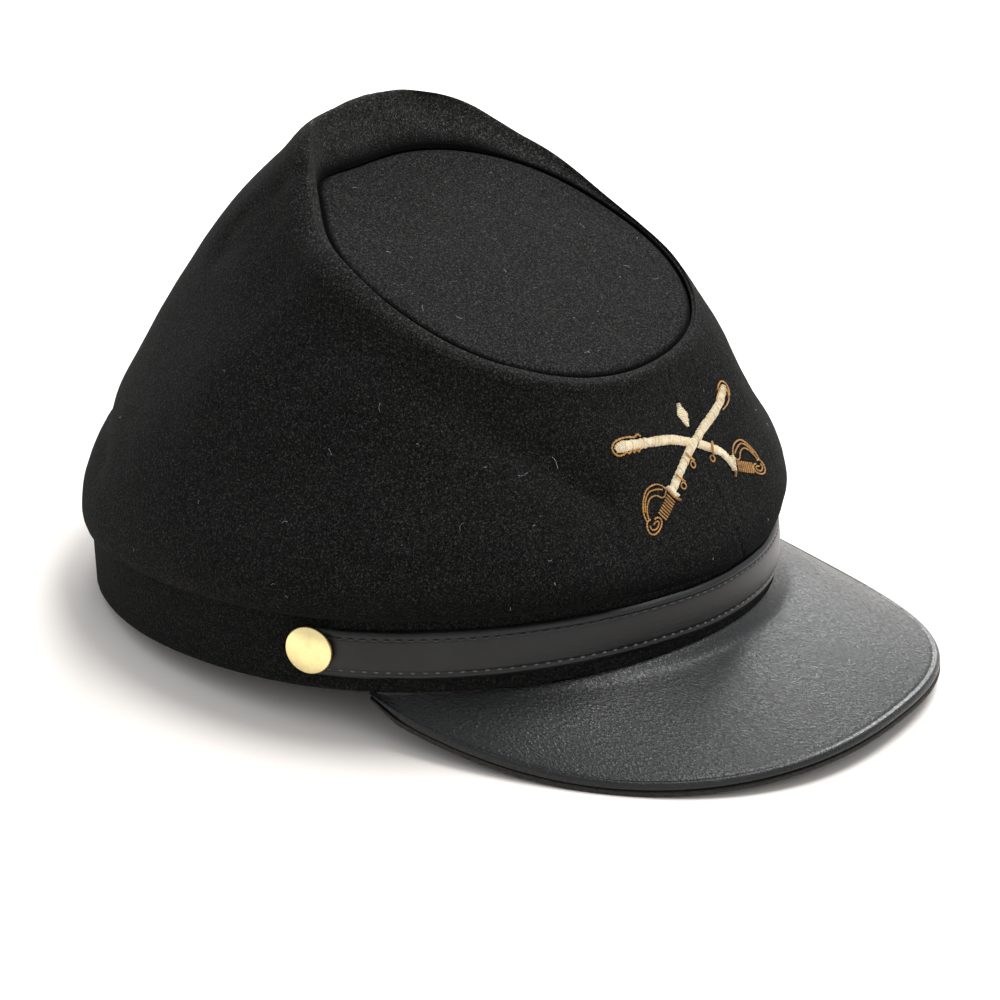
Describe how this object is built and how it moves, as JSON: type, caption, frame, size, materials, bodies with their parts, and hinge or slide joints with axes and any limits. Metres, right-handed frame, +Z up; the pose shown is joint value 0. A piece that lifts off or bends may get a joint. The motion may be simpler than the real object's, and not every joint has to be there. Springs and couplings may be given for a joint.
{
  "type": "kepi cap",
  "caption": "Soft wool kepi with a sunken slanting oval top, drooping crown, leather peak, leather chin strap, side buttons and an embroidered badge in front.",
  "frame": {"origin": "middle of the bottom of the box round the cap, on the surface it stands on", "axes": "+Y from the peak to the back of the cap, +Z up from the surface, +X towards the wearer's left"},
  "size_m": [0.1874, 0.2522, 0.1399],
  "materials": {
    "black_wool": "matt, fuzzy",
    "top_wool": "matt, fuzzy",
    "band_wool": "matt, fuzzy",
    "peak_leather": "semi-gloss, pebbled",
    "peak_under_leather": "satin",
    "strap_leather": "satin, smooth",
    "button_brass": "polished",
    "badge_thread": "satin stitch"
  },
  "bodies": {
    "root": {"crown": "black_wool", "top_disc": "top_wool", "band": "band_wool", "peak": "peak_leather", "peak_underlay": "peak_under_leather", "chin_strap": "strap_leather", "side_button_left": "button_brass", "side_button_right": "button_brass", "sabre_over": "badge_thread", "sabre_under_left": "badge_thread", "sabre_under_right": "badge_thread", "lozenge": "badge_thread"}
  },
  "joints": []
}
